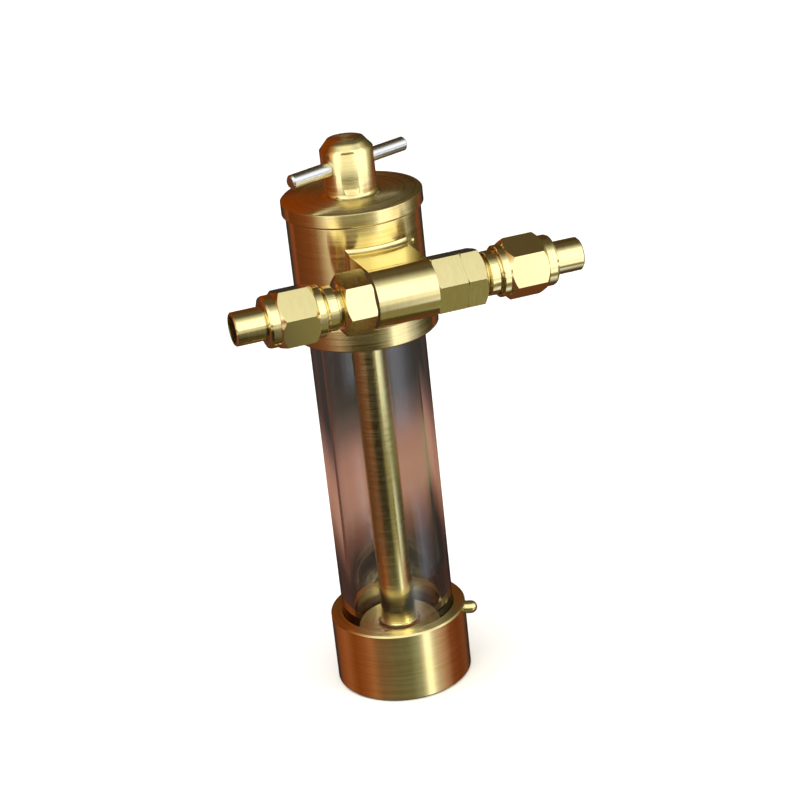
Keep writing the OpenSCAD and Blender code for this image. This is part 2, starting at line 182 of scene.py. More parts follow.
def look_round(tree, place):
    """How far right, how near, and how far round a direction or a place is.

    The last is a share: 0.5 is towards the camera, 0.75 is to its right, and 0 and 1 are behind."""
    right = put(tree, "ShaderNodeVectorMath", {0: place, 1: view_right}, operation="DOT_PRODUCT")
    near = put(tree, "ShaderNodeVectorMath", {0: place, 1: toward}, operation="DOT_PRODUCT")
    sides = {0: right.outputs["Value"], 1: near.outputs["Value"]}
    angle = put(tree, "ShaderNodeMath", sides, operation="ARCTAN2").outputs[0]
    share = put(tree, "ShaderNodeMath", {0: angle, 1: 1 / (2 * math.pi), 2: 0.5}, operation="MULTIPLY_ADD")
    return right.outputs["Value"], near.outputs["Value"], share.outputs[0]


direction = put(sky, "ShaderNodeTexCoord").outputs["Generated"]
right_part, near_part, round_share = look_round(sky, direction)
height = put(sky, "ShaderNodeSeparateXYZ", {0: direction}).outputs["Z"]
height_angle = put(sky, "ShaderNodeMath", {0: height}, operation="ARCSINE").outputs[0]
# 0 is straight down, 0.5 is level and 1 is straight up
level = {0: height_angle, 1: 1 / math.pi, 2: 0.5}
height_share = put(sky, "ShaderNodeMath", level, operation="MULTIPLY_ADD").outputs[0]
print("nodes that find a direction:", len(sky.nodes))

# %% [markdown]
# ## What stands round the bench
#
# Below the level of the eye there is brown wood all round, darker and greener in front, with one white
# sheet to the right of the camera. Above the level the windows are. Each is one ramp over the share
# round the injector, from behind it, past the left, the camera and the right, to behind it again.

# %% The bench's far parts and the windows
bench = put(
    sky,
    "ShaderNodeValToRGB",
    {0: round_share},
    stops=[
        (0.00, "5A4038"),
        (0.13, "87492E"),
        (0.19, "9C5C3E"),
        (0.25, "80401C"),
        (0.30, "924E2E"),
        (0.345, "A8694A"),
        (0.385, "7C5844"),
        (0.47, "665E4A"),
        (0.53, "6C6C5A"),
        (0.575, "A0A494"),
        (0.605, "FFFFFF"),
        (0.63, "FFFFFF"),
        (0.665, "D2C0BC"),
        (0.70, "BC9288"),
        (0.75, "824628"),
        (0.81, "70381E"),
        (0.87, "7C4834"),
        (1.00, "5A4038"),
    ],
).outputs[0]
windows = put(
    sky,
    "ShaderNodeValToRGB",
    {0: round_share},
    stops=[
        (0.00, "5A3A1C"),
        (0.03, "7C380C"),
        (0.08, "883E0A"),
        (0.13, "843E0E"),
        (0.19, "6A3818"),
        (0.25, "B67C50"),
        (0.305, "E0C09A"),
        (0.34, "FCFDFF"),
        (0.43, "FCFDFF"),
        (0.46, "F4F4EC"),
        (0.54, "F4F4EC"),
        (0.58, "FCFDFF"),
        (0.74, "FCFDFF"),
        (0.79, "C0BCA8"),
        (0.85, "706850"),
        (0.92, "4A4430"),
        (0.97, "463A26"),
        (1.00, "5A3A1C"),
    ],
).outputs[0]
print("nodes in the world so far:", len(sky.nodes))

# %% [markdown]
# ## Straight above and straight below
#
# Close to straight up or down, a bearing means little, and a ramp over it would show as a star. These two
# ramps run across instead, from the far side to the near side.

# %% The ceiling and the table
near_share = put(sky, "ShaderNodeMath", {0: near_part, 1: 0.5, 2: 0.5}, operation="MULTIPLY_ADD").outputs[0]
ceiling = put(
    sky,
    "ShaderNodeValToRGB",
    {0: near_share},
    stops=[
        (0.10, "5E4E36"),
        (0.42, "5C5444"),
        (0.50, "8A8474"),
        (0.60, "CACCC4"),
        (0.70, "F4F6EE"),
        (1.00, "F8FAF4"),
    ],
).outputs[0]
table = put(
    sky,
    "ShaderNodeValToRGB",
    {0: near_share},
    stops=[
        (0.05, "70402A"),
        (0.38, "5A3E24"),
        (0.50, "484122"),
        (0.70, "5E5A38"),
        (0.86, "88866A"),
        (1.00, "88866A"),
    ],
).outputs[0]
print("nodes with the ceiling and the table:", len(sky.nodes))

# %% [markdown]
# ## What is seen through the glass
#
# Behind the glass the photograph shows a dark ground with a tan strip across it, bent by the tube. So the
# strip isn't painted on the glass. It is put in the room, about 25 degrees below the level, and the tube
# bends it by itself. Rays that come through the glass see it on the whole far side, and reflections see
# it only straight behind.

# %% The dark ground and the tan strip
# The things behind lean a little, so the height is tilted with the place across the view
STRIP_LEAN = -0.007
leaning = {0: right_part, 1: STRIP_LEAN, 2: height_share}
tilted_height = put(sky, "ShaderNodeMath", leaning, operation="MULTIPLY_ADD").outputs[0]
behind = put(
    sky,
    "ShaderNodeValToRGB",
    {0: tilted_height},
    stops=[
        (0.30, "262220"),
        (0.3527, "2E2826"),
        (0.3563, "865A48"),
        (0.3605, "C08E78"),
        (0.3650, "B6826C"),
        (0.3680, "A87868"),
        (0.3705, "7A5C54"),
        (0.3725, "363432"),
        (0.40, "323232"),
        (0.46, "303030"),
    ],
).outputs[0]

path = put(sky, "ShaderNodeLightPath")
straight_behind = put(
    sky,
    "ShaderNodeValToRGB",
    {0: round_share},
    stops=[(0.07, 1.0), (0.12, 0.0), (0.88, 0.0), (0.93, 1.0)],
).outputs[0]
far_side = put(
    sky,
    "ShaderNodeValToRGB",
    {0: round_share},
    stops=[(0.20, 1.0), (0.25, 0.0), (0.75, 0.0), (0.80, 1.0)],
).outputs[0]
through = {0: far_side, 1: path.outputs["Is Transmission Ray"]}
through_glass = put(sky, "ShaderNodeMath", through, operation="MULTIPLY").outputs[0]
either = {0: straight_behind, 1: through_glass}
is_behind = put(sky, "ShaderNodeMath", either, operation="MAXIMUM").outputs[0]
print("the strip climbs", round(-180 * STRIP_LEAN, 2), "degrees from the middle to the right")

# %% [markdown]
# ## Join the room
#
# The parts are joined from the bottom to the top. Each join has a soft edge between two heights, because a
# hard edge in the room would be a hard line in every curved piece of brass.

# %% The parts of the room, one over the other
# Inputs 6 and 7 of a Mix node for colours are its two colours
low_down = put(sky, "ShaderNodeMix", {"Factor": is_behind, 6: bench, 7: behind}, data_type="RGBA").outputs[2]
room_parts = {"table": table, "low down": low_down, "windows": windows, "ceiling": ceiling}
# The new part's name, the lower part, the higher part, and the heights in degrees between which they change
JOINS = [
    ("below", "table", "low down", -44, -32),
    ("above", "windows", "ceiling", 42, 60),
    ("room", "below", "above", -2, 4),
]
for joined, lower, higher, *heights_deg in JOINS:
    start, end = [0.5 + height_deg / 180 for height_deg in heights_deg]
    change = put(sky, "ShaderNodeMapRange", {0: height_share, 1: start, 2: end}).outputs[0]
    pair = {"Factor": change, 6: room_parts[lower], 7: room_parts[higher]}
    room_parts[joined] = put(sky, "ShaderNodeMix", pair, data_type="RGBA").outputs[2]
print("parts of the room:", ", ".join(room_parts))

# %% [markdown]
# ## Light the world
#
# A window is brighter than any paper. Without that difference a highlight on brass looks like white
# paint. The strength rises steeply with how pale the colour is, so only the windows and the white sheets
# gain by it. Two backgrounds are then mixed by the kind of ray: plain white for the camera and
# for matt surfaces, and the room for all others.

# %% Two worlds in one
WINDOW_GAIN = 0.7
PALE_POWER = 8.0
PLAIN_STRENGTH = 0.9


def glow(tree, seen):
    """A strength of 1 for dark and middling colours, which rises by WINDOW_GAIN up to white."""
    grey = put(tree, "ShaderNodeRGBToBW", {0: seen}).outputs[0]
    lit = put(tree, "ShaderNodeMath", {0: grey, 1: PALE_POWER}, operation="POWER").outputs[0]
    gained = {0: lit, 1: WINDOW_GAIN, 2: 1.0}
    return put(tree, "ShaderNodeMath", gained, operation="MULTIPLY_ADD").outputs[0]


room = room_parts["room"]
plain_rays = {0: path.outputs["Is Camera Ray"], 1: path.outputs["Is Diffuse Ray"]}
sees_plain = put(sky, "ShaderNodeMath", plain_rays, operation="MAXIMUM").outputs[0]
plain = put(sky, "ShaderNodeBackground", {"Color": colour("FFFFFF"), "Strength": PLAIN_STRENGTH}).outputs[0]
reflected = put(sky, "ShaderNodeBackground", {"Color": room, "Strength": glow(sky, room)}).outputs[0]
both = put(sky, "ShaderNodeMixShader", {0: sees_plain, 1: reflected, 2: plain}).outputs[0]
put(sky, "ShaderNodeOutputWorld", {"Surface": both})
print("nodes in the world:", len(sky.nodes))

# %% [markdown]
# ## The floor
#
# The photograph shows the injector on a plain pale ground. The floor is one sheet of matt paper, wide
# enough to fill the picture, and a hair below the base, so that the two don't lie in one plane. A paper's
# grain can't be seen from here, so it is plain. Reflections pass it by: the bench stands in for it there.

# %% The paper floor
FLOOR_HALF = 3.0
FLOOR_DROP = 0.05 * MM


def empty_material(name):
    """A material whose tree has no nodes yet."""
    made = bpy.data.materials.new(name)
    made.use_nodes = True
    made.node_tree.nodes.clear()
    return made


corners = [(-1, -1), (1, -1), (1, 1), (-1, 1)]
floor_mesh = bpy.data.meshes.new("floor")
floor_mesh.from_pydata([(x * FLOOR_HALF, y * FLOOR_HALF, 0) for x, y in corners], [], [(0, 1, 2, 3)])
floor = bpy.data.objects.new("floor", floor_mesh)
scene.collection.objects.link(floor)
floor.location.z = -FLOOR_DROP
floor.visible_glossy = False
floor.visible_transmission = False

paper = empty_material("pale paper floor")
paper_skin = put(paper.node_tree, "ShaderNodeBsdfDiffuse", {"Color": colour("F6F5F3")}).outputs[0]
put(paper.node_tree, "ShaderNodeOutputMaterial", {"Surface": paper_skin})
floor_mesh.materials.append(paper)
print("floor is", 2 * FLOOR_HALF, "m across")

# %% [markdown]
# ## Two lamps
#
# The lamps light the paper and give the injector its soft shadow. One is large and hangs over the left, the
# other is smaller and stands at the front right. Both are hidden from reflections, so every highlight
# on the brass comes from the room, where it can be placed by its ramp.

# %% The lamps
LAMP_AIM = Vector((0, 0, 0.05))


def lamp(name, place, size, power, tint):
    """A square soft lamp that points at the middle of the injector."""
    data = bpy.data.lights.new(name, "AREA")
    data.size = size
    data.energy = power
    data.color = colour(tint)[:3]
    made = bpy.data.objects.new(name, data)
    scene.collection.objects.link(made)
    made.location = place
    made.rotation_euler = (LAMP_AIM - Vector(place)).to_track_quat("-Z", "Y").to_euler()
    made.visible_glossy = False
    print(name, "gives", power, "W from", place)


lamp("overhead_lamp", (-0.15, -0.10, 0.75), size=0.5, power=3.0, tint="FFFDF6")
lamp("front_lamp", (0.35, -0.45, 0.45), size=0.18, power=1.2, tint="FFF8E8")

# %% [markdown]
# ## The bench that only reflections see
#
# The world lies endlessly far away, so it looks the same from the base and from the cap. A real bench
# does not: the base mirrors the wood beside it, and the cap mirrors the white paper further out. This
# sheet lies in the floor's plane, has a hole round the object, and is seen by reflections alone. It is
# open behind the injector, so that what the glass shows there stays the world's.

# %% The bench's sheet
BENCH_IN = 0.045
BENCH_OUT = 0.7
BENCH_HALF_DEG = 125
BENCH_STEPS = 50

bench_points = []
bench_faces = []
for number in range(BENCH_STEPS + 1):
    bearing = math.radians(-BENCH_HALF_DEG + 2 * BENCH_HALF_DEG * number / BENCH_STEPS)
    outward = toward * math.cos(bearing) + view_right * math.sin(bearing)
    bench_points += [outward * BENCH_IN, outward * BENCH_OUT]
    if number:
        first = 2 * number - 2
        bench_faces.append((first, first + 1, first + 3, first + 2))
bench_mesh = bpy.data.meshes.new("bench_top")
bench_mesh.from_pydata(bench_points, [], bench_faces)
bench_top = bpy.data.objects.new("bench_top", bench_mesh)
scene.collection.objects.link(bench_top)
bench_top.visible_camera = False
bench_top.visible_diffuse = False
bench_top.visible_shadow = False
print("bench sheet has", len(bench_faces), "faces")

# %% [markdown]
# ## The bench's wood
#
# The wood changes with the distance. Close by it is red brown at the left, with a white sheet at the front
# right, and dark in front: that dark is the injector's own shadow on the bench, painted into the sheet.
# About 200 mm out it turns olive, with pale paper at the front left too. The walls of the base cup and the
# head mirror the wood close by, and the cap mirrors the wood further out.
# The bench glows by itself, as the world does, so no lamp changes it.

# %% Wood close by and further out
# A distance from the injector's axis in metres, from the start to the end of a soft change
WOOD_CHANGES = (0.198, 0.212)

oak = empty_material("bench and white paper")
oak_tree = oak.node_tree
on_bench = put(oak_tree, "ShaderNodeTexCoord").outputs["Object"]
bench_share = look_round(oak_tree, on_bench)[2]
far_out = put(oak_tree, "ShaderNodeVectorMath", {0: on_bench}, operation="LENGTH").outputs["Value"]
close_by = put(
    oak_tree,
    "ShaderNodeValToRGB",
    {0: bench_share},
    stops=[
        (0.15, "5C3C32"),
        (0.25, "704636"),
        (0.345, "7C5242"),
        (0.385, "6C4636"),
        # Painted shadow: these dark stops in front are the injector's own shadow on the bench
        (0.42, "34261A"),
        (0.50, "261E14"),
        (0.54, "3A3228"),
        (0.585, "94928C"),
        (0.61, "F8FAFF"),
        (0.675, "F0F4FF"),
        (0.71, "BCC0D0"),
        (0.75, "646058"),
        (0.80, "443C32"),
        (0.86, "3C3026"),
    ],
).outputs[0]
further_out = put(
    oak_tree,
    "ShaderNodeValToRGB",
    {0: bench_share},
    stops=[
        (0.15, "66381E"),
        (0.22, "74401E"),
        (0.27, "804628"),
        (0.31, "90664A"),
        (0.34, "C8B0A0"),
        (0.375, "F0E2D4"),
        (0.41, "C4B490"),
        (0.44, "7C6A44"),
        (0.47, "584620"),
        (0.51, "564C24"),
        (0.545, "7A7048"),
        (0.58, "A6A288"),
        (0.61, "F4F4F0"),
        (0.67, "F0F0EC"),
        (0.70, "C4C4B0"),
        (0.75, "7E7A56"),
        (0.80, "4A4226"),
        (0.86, "5C4A34"),
    ],
).outputs[0]
changing = {0: far_out, 1: WOOD_CHANGES[0], 2: WOOD_CHANGES[1]}
is_further = put(oak_tree, "ShaderNodeMapRange", changing).outputs[0]
wood_pair = {"Factor": is_further, 6: close_by, 7: further_out}
wood = put(oak_tree, "ShaderNodeMix", wood_pair, data_type="RGBA").outputs[2]
print("the wood changes about", round(sum(WOOD_CHANGES) / 2 / MM), "mm out")

# %% [markdown]
# ## Pale paper past the wood
#
# Past the edge of the wood there is pale paper, in front and at the right. Only the knob's rounded top
# mirrors it, and it gives the knob its pale front.

# %% The paper past the edge
WOOD_ENDS = (0.278, 0.292)
in_front = put(
    oak_tree,
    "ShaderNodeValToRGB",
    {0: bench_share},
    stops=[(0.34, 0.0), (0.38, 1.0), (0.78, 1.0), (0.84, 0.0)],
).outputs[0]
far_paper = put(
    oak_tree,
    "ShaderNodeValToRGB",
    {0: bench_share},
    stops=[
        (0.37, "FFFFFF"),
        (0.41, "FFFFFF"),
        (0.45, "CECAB6"),
        (0.54, "CECAB6"),
        (0.58, "D8D4C2"),
        (0.61, "FFFFFF"),
        (0.75, "FFFFFF"),
        (0.80, "A8A094"),
    ],
).outputs[0]
ending = {0: far_out, 1: WOOD_ENDS[0], 2: WOOD_ENDS[1]}
past_edge = put(oak_tree, "ShaderNodeMapRange", ending).outputs[0]
is_paper = put(oak_tree, "ShaderNodeMath", {0: in_front, 1: past_edge}, operation="MULTIPLY").outputs[0]
paper_pair = {"Factor": is_paper, 6: wood, 7: far_paper}
with_paper = put(oak_tree, "ShaderNodeMix", paper_pair, data_type="RGBA").outputs[2]
print("the wood ends about", round(sum(WOOD_ENDS) / 2 / MM), "mm out")

# %% [markdown]
# ## Something dull across the paper
#
# In the photograph a dull olive patch breaks the white reflection at the front right of the lower pieces.
# So something dull lies across the sheet there, a hand's breadth away: a band at the right, and a
# patch in front that comes right up to the base.

# %% The dull patch, and the bench's glow
DULL = "86825E"
DULL_STARTS = (0.074, 0.084)
DULL_ENDS = (0.106, 0.118)
dull_band = put(
    oak_tree,
    "ShaderNodeValToRGB",
    {0: far_out},
    stops=[(DULL_STARTS[0], 0.0), (DULL_STARTS[1], 1.0), (DULL_ENDS[0], 1.0), (DULL_ENDS[1], 0.0)],
).outputs[0]
near_patch = put(
    oak_tree,
    "ShaderNodeValToRGB",
    {0: far_out},
    stops=[(DULL_ENDS[0], 1.0), (DULL_ENDS[1], 0.0)],
).outputs[0]
at_front = put(
    oak_tree,
    "ShaderNodeValToRGB",
    {0: bench_share},
    stops=[(0.54, 0.0), (0.57, 1.0), (0.65, 1.0), (0.67, 0.0)],
).outputs[0]
on_right = put(oak_tree, "ShaderNodeMapRange", {0: bench_share, 1: 0.55, 2: 0.58}).outputs[0]
band = put(oak_tree, "ShaderNodeMath", {0: dull_band, 1: on_right}, operation="MULTIPLY").outputs[0]
patch = put(oak_tree, "ShaderNodeMath", {0: near_patch, 1: at_front}, operation="MULTIPLY").outputs[0]
is_dull = put(oak_tree, "ShaderNodeMath", {0: band, 1: patch}, operation="MAXIMUM").outputs[0]
dull_pair = {"Factor": is_dull, 6: with_paper, 7: colour(DULL)}
on_top = put(oak_tree, "ShaderNodeMix", dull_pair, data_type="RGBA").outputs[2]
shine = put(oak_tree, "ShaderNodeEmission", {"Color": on_top, "Strength": glow(oak_tree, on_top)}).outputs[0]
put(oak_tree, "ShaderNodeOutputMaterial", {"Surface": shine})
bench_mesh.materials.append(oak)
print("nodes in the bench's material:", len(oak_tree.nodes))

# %% [markdown]
# ## Turned brass: the rings
#
# This is free-cutting brass, turned on a lathe and left bright. The tool leaves a fine ring at each turn,
# and the rings do two things to the eye: they show as faint lines, and they smear each reflection
# across themselves, into long streaks. The rings depend only on the distance from the lathe's axis and on
# the place along it, so the pattern is noise made from those two numbers. A picture of brushed metal
# would be quicker, but it would need unwrapping, and its lines would not run round each piece.

# %% A place on the lathe, and the tool's rings
# A real tool's feed is about 0.05 mm a turn, which is too fine to show here, so the rings are drawn wider
RING_MM = 0.3


def on_the_lathe(tree, centre, turn_deg):
    """The place measured from the lathe's centre, the same place laid onto Z, and the lathe's axis."""
    place = put(tree, "ShaderNodeTexCoord").outputs["Object"]
    moved = put(tree, "ShaderNodeVectorMath", {0: place, 1: centre}, operation="SUBTRACT").outputs[0]
    forth = {"Vector": moved, "Rotation": [math.radians(a) for a in turn_deg]}
    laid = put(tree, "ShaderNodeMapping", forth, vector_type="POINT").outputs[0]
    back = {"Vector": (0.0, 0.0, 1.0), "Rotation": [-math.radians(a) for a in turn_deg]}
    axis = put(tree, "ShaderNodeVectorRotate", back, rotation_type="EULER_XYZ").outputs[0]
    return moved, laid, axis


def tool_rings(tree, laid, ring_mm):
    """Noise in rings. A little of the way round is mixed in, so that no ring is perfectly even."""
    parts = put(tree, "ShaderNodeSeparateXYZ", {0: laid})
    flat = put(tree, "ShaderNodeCombineXYZ", {0: parts.outputs[0], 1: parts.outputs[1]}).outputs[0]
    radius = put(tree, "ShaderNodeVectorMath", {0: flat}, operation="LENGTH").outputs["Value"]
    unit = put(tree, "ShaderNodeVectorMath", {0: flat}, operation="NORMALIZE").outputs[0]
    way_round = put(tree, "ShaderNodeSeparateXYZ", {0: unit}).outputs[0]
    rings = 1 / (ring_mm * MM)
    across = put(tree, "ShaderNodeMath", {0: radius, 1: rings}, operation="MULTIPLY").outputs[0]
    along = put(tree, "ShaderNodeMath", {0: parts.outputs[2], 1: rings}, operation="MULTIPLY").outputs[0]
    ring_place = put(tree, "ShaderNodeCombineXYZ", {0: across, 1: along, 2: way_round}).outputs[0]
    grain = {"Vector": ring_place, "Scale": 1.0, "Detail": 3.0, "Roughness": 0.6}
    return put(tree, "ShaderNodeTexNoise", grain).outputs[0]


cup_low, cup_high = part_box("base_cap")
print("rings on the base cup's end face:", round((cup_high.x - cup_low.x) / 2 / (RING_MM * MM)))

# %% [markdown]
# ## Turned brass: the colour
#
# Bright brass begins to tarnish within days: broad soft patches grow warmer and deeper, and the bottom of
# each ring holds a little dirt. The corners, seams and undersides of edges get painted shade: the colour
# itself is darkened there. Three masks do this: the rings, a soft noise, and the Ambient Occlusion node,
# which finds the corners for the painted shade.

# %% Tarnish, and painted shade in the corners
TARNISH_MM = 4.545
# How far the painted shade reaches out of a corner, and the near black brown that it darkens towards
CORNER_SHADE_REACH = 0.6 * MM
CORNER_SHADE_COLOUR = "2E1E0C"


def aged_colour_and_painted_shade(tree, rings, light, deep, marked):
    """The light colour, deeper in the rings and in soft patches, with painted shade darkening the corners.
    """
    place = put(tree, "ShaderNodeTexCoord").outputs["Object"]
    broad = {"Vector": place, "Scale": 1 / (TARNISH_MM * MM), "Detail": 4.0, "Roughness": 0.55}
    soft = put(tree, "ShaderNodeTexNoise", broad).outputs[0]
    in_rings = put(tree, "ShaderNodeMapRange", {0: rings, 1: 0.60, 2: 0.36, 3: 0.0, 4: marked}).outputs[0]
    in_patches = {0: soft, 1: 0.42, 2: 0.72, 3: 0.0, 4: 0.6 * marked}
    patches = put(tree, "ShaderNodeMapRange", in_patches).outputs[0]
    mark = put(tree, "ShaderNodeMath", {0: in_rings, 1: patches}, operation="ADD", use_clamp=True).outputs[0]
    metals = {"Factor": mark, 6: colour(light), 7: colour(deep)}
    tint = put(tree, "ShaderNodeMix", metals, data_type="RGBA").outputs[2]
    # Painted shade: where the Ambient Occlusion node finds a corner or a seam, the colour is darkened
    corner = put(tree, "ShaderNodeAmbientOcclusion", {"Distance": CORNER_SHADE_REACH}, samples=6).outputs["AO"]
    painted_shade = put(tree, "ShaderNodeMapRange", {0: corner, 1: 0.62, 2: 0.12, 3: 0.0, 4: 0.85}).outputs[0]
    with_painted_shade = {"Factor": painted_shade, 6: tint, 7: colour(CORNER_SHADE_COLOUR)}
    return put(tree, "ShaderNodeMix", with_painted_shade, data_type="RGBA").outputs[2]


# How far the painted shade in the corners reaches
print("dirt reaches", CORNER_SHADE_REACH / MM, "mm out of a corner")

# %% [markdown]
# ## Turned brass: the shine
#
# A cut across the end of the bar is coarser than one along it, so faces that look along the axis are
# rougher. The smear needs a direction at every point, which is the way the groove runs there: the
# cross product of the axis and the place.

# %% Roughness, and the way the grooves run
# How squarely a face looks along the axis, from where it starts to count as an end face to where it is one
END_FACE_FROM = 0.85
END_FACE_FULL = 0.99


def ring_roughness(tree, rings, axis, roughness, faced):
    """The roughness, a little higher and lower from ring to ring, and faced times higher on end faces."""
    uneven = {0: rings, 1: 0.3, 2: 0.7, 3: roughness * 0.75, 4: roughness * 1.35}
    ring_rough = put(tree, "ShaderNodeMapRange", uneven).outputs[0]
    facing = put(tree, "ShaderNodeTexCoord").outputs["Normal"]
    along_axis = put(tree, "ShaderNodeVectorMath", {0: facing, 1: axis}, operation="DOT_PRODUCT")
    squarely = put(tree, "ShaderNodeMath", {0: along_axis.outputs["Value"]}, operation="ABSOLUTE").outputs[0]
    on_ends = {0: squarely, 1: END_FACE_FROM, 2: END_FACE_FULL, 3: 1.0, 4: faced}
    coarser = put(tree, "ShaderNodeMapRange", on_ends).outputs[0]
    return put(tree, "ShaderNodeMath", {0: ring_rough, 1: coarser}, operation="MULTIPLY").outputs[0]


def groove_way(tree, axis, moved):
    """The direction of the groove at a place, in the world's axes."""
    groove = put(tree, "ShaderNodeVectorMath", {0: axis, 1: moved}, operation="CROSS_PRODUCT").outputs[0]
    spaces = {"vector_type": "VECTOR", "convert_from": "OBJECT", "convert_to": "WORLD"}
    in_world = put(tree, "ShaderNodeVectorTransform", {0: groove}, **spaces).outputs[0]
    return put(tree, "ShaderNodeVectorMath", {0: in_world}, operation="NORMALIZE").outputs[0]


print("an end face leans at most", round(math.degrees(math.acos(END_FACE_FROM))), "degrees")

# %% [markdown]
# ## Turned brass: the whole metal
#
# The parts come together in a metal with the default IOR. The Bevel node breaks each edge by a tenth of a
# millimetre for the light, as a turner does with a file, and costs no geometry.

# %% A function for turned metal
EDGE_BREAK = 0.1 * MM


def turned_metal(
    name,
    centre,
    turn_deg,
    light,
    deep,
    roughness,
    ring_mm=RING_MM,
    depth_mm=0.001,
    smear=0.7,
    marked=0.5,
    faced=1.0,
):
    """Metal turned about an axis through centre. turn_deg lays that axis onto Z.

    smear draws reflections out across the rings, marked is how far tarnish and rings show, and faced is
    how much rougher an end face is than the rest."""
    made = empty_material(name)
    tree = made.node_tree
    moved, laid, axis = on_the_lathe(tree, centre, turn_deg)
    rings = tool_rings(tree, laid, ring_mm)
    broken = put(tree, "ShaderNodeBevel", {"Radius": EDGE_BREAK}, samples=4).outputs[0]
    relief = {"Strength": 1.0, "Distance": depth_mm * MM, "Height": rings, "Normal": broken}
    skin = put(
        tree,
        "ShaderNodeBsdfPrincipled",
        {
            "Base Color": aged_colour_and_painted_shade(tree, rings, light, deep, marked),
            "Metallic": 1.0,
            "Roughness": ring_roughness(tree, rings, axis, roughness, faced),
            "Anisotropic": smear,
            "Anisotropic Rotation": 0.25,
            "Normal": put(tree, "ShaderNodeBump", relief).outputs[0],
            "Tangent": groove_way(tree, axis, moved),
        },
    )
    put(tree, "ShaderNodeOutputMaterial", {"Surface": skin.outputs[0]})
    print(name, "has", len(tree.nodes), "nodes")
    return made


# %% [markdown]
# ## Three brasses
#
# The column is turned about the upright axis through the origin. The steam line is turned about a level
# axis through the middle of the barrel, so its brass has its own centre and turn, and in the photograph
# it is cleaner. The rod is drawn through a die and not turned, so its rings are faint.

# %% The brasses
BRASS = "F5E6AC"
BRASS_DEEP = "DEC67C"
# The centre and the turn of the column's axis
UPRIGHT = ((0, 0, 0), (0, 0, 0))

line_low, line_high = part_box("lock_nut_right")
PIPE_Y = (line_low.y + line_high.y) / 2
PIPE_Z = (line_low.z + line_high.z) / 2
LINE_CENTRE = (0, PIPE_Y, PIPE_Z)
LINE_TURN_DEG = (0, 90, 0)
print("steam line axis at y, z =", round(PIPE_Y, 5), round(PIPE_Z, 5))

column_brass = turned_metal("turned brass, column", *UPRIGHT, BRASS, BRASS_DEEP, 0.17, marked=0.4, faced=2.0)
rod_brass = turned_metal(
    "drawn brass, rod", *UPRIGHT, BRASS, BRASS_DEEP, 0.18, depth_mm=0.0004, smear=0.5, marked=0.15
)
line_brass = turned_metal(
    "turned brass, steam line", LINE_CENTRE, LINE_TURN_DEG, BRASS, BRASS_DEEP, 0.15, smear=0.5, marked=0.12
)

# %% [markdown]
# ## Steel
#
# The cross bar is ground silver steel, bright and cool beside the brass, with fine grinding lines across
# it. They are drawn 0.2 mm wide, because real ones are too fine to show. The function for turned metal
# does this too, with shallower lines. It is centred on the bar, and the clamp screw below shares its axis.

# %% Ground steel
bar_low, bar_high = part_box("cross_bar")
BAR_CENTRE = (0, 0, (bar_low.z + bar_high.z) / 2)
steel = turned_metal(
    "ground steel", BAR_CENTRE, (0, 0, 0), "DCDEE0", "C4C8CC", 0.22, ring_mm=0.2, depth_mm=0.0006, smear=0.2
)

# %% [markdown]
# ## Rubber and fibre
#
# The seals are moulded nitrile rubber, which is matt. Their brown is a painted reflection of the warm brass
# round them. The joint washers are punched from red vulcanised fibre, which is matt too. Both need no more
# than two close colours and a fine grain in colour and surface. The grain is drawn a few times coarser
# than the real one, so that it shows.


# %% The matt finishes
def matt(name, light, deep, roughness, grain_mm):
    """A matt finish with a fine grain in its colour and surface."""
    made = empty_material(name)
    tree = made.node_tree
    place = put(tree, "ShaderNodeTexCoord").outputs["Object"]
    fine = {"Vector": place, "Scale": 1 / (grain_mm * MM), "Detail": 3.0}
    grain = put(tree, "ShaderNodeTexNoise", fine).outputs[0]
    colours = {"Factor": grain, 6: colour(light), 7: colour(deep)}
    tint = put(tree, "ShaderNodeMix", colours, data_type="RGBA").outputs[2]
    relief = {"Strength": 0.6, "Distance": 0.01 * MM, "Height": grain}
    bump = put(tree, "ShaderNodeBump", relief).outputs[0]
    surface = {"Base Color": tint, "Roughness": roughness, "Normal": bump}
    skin = put(tree, "ShaderNodeBsdfPrincipled", surface).outputs[0]
    put(tree, "ShaderNodeOutputMaterial", {"Surface": skin})
    print(name, "has a grain of", grain_mm, "mm")
    return made


# The rubber's browns are a painted reflection of the brass round the seals
rubber = matt("nitrile rubber", "4A3014", "2C1C0A", roughness=0.75, grain_mm=0.2)
fibre = matt("vulcanised fibre", "8A3A22", "6A2614", roughness=0.7, grain_mm=0.3)

# %% [markdown]
# ## Glass
#
# The sight glass is a drawn tube of borosilicate glass, clear and smooth, with an IOR of 1.47. It has real
# walls, so the bright and dark lines at its sides come from the rays it bends, and nothing is painted.

# %% Borosilicate glass
GLASS_IOR = 1.47
glass = empty_material("borosilicate glass")
clear = {"Base Color": colour("FAFCFB"), "Roughness": 0.02, "IOR": GLASS_IOR, "Transmission Weight": 1.0}
glass_skin = put(glass.node_tree, "ShaderNodeBsdfPrincipled", clear).outputs[0]
put(glass.node_tree, "ShaderNodeOutputMaterial", {"Surface": glass_skin})
print("glass has an IOR of", GLASS_IOR)

# %% [markdown]
# ## Dress every piece
#
# The record names a material for each piece, and the loop follows it, so that no piece can be
# forgotten. Two questions then pick the brass: is it the rod, and is it on the steam line?

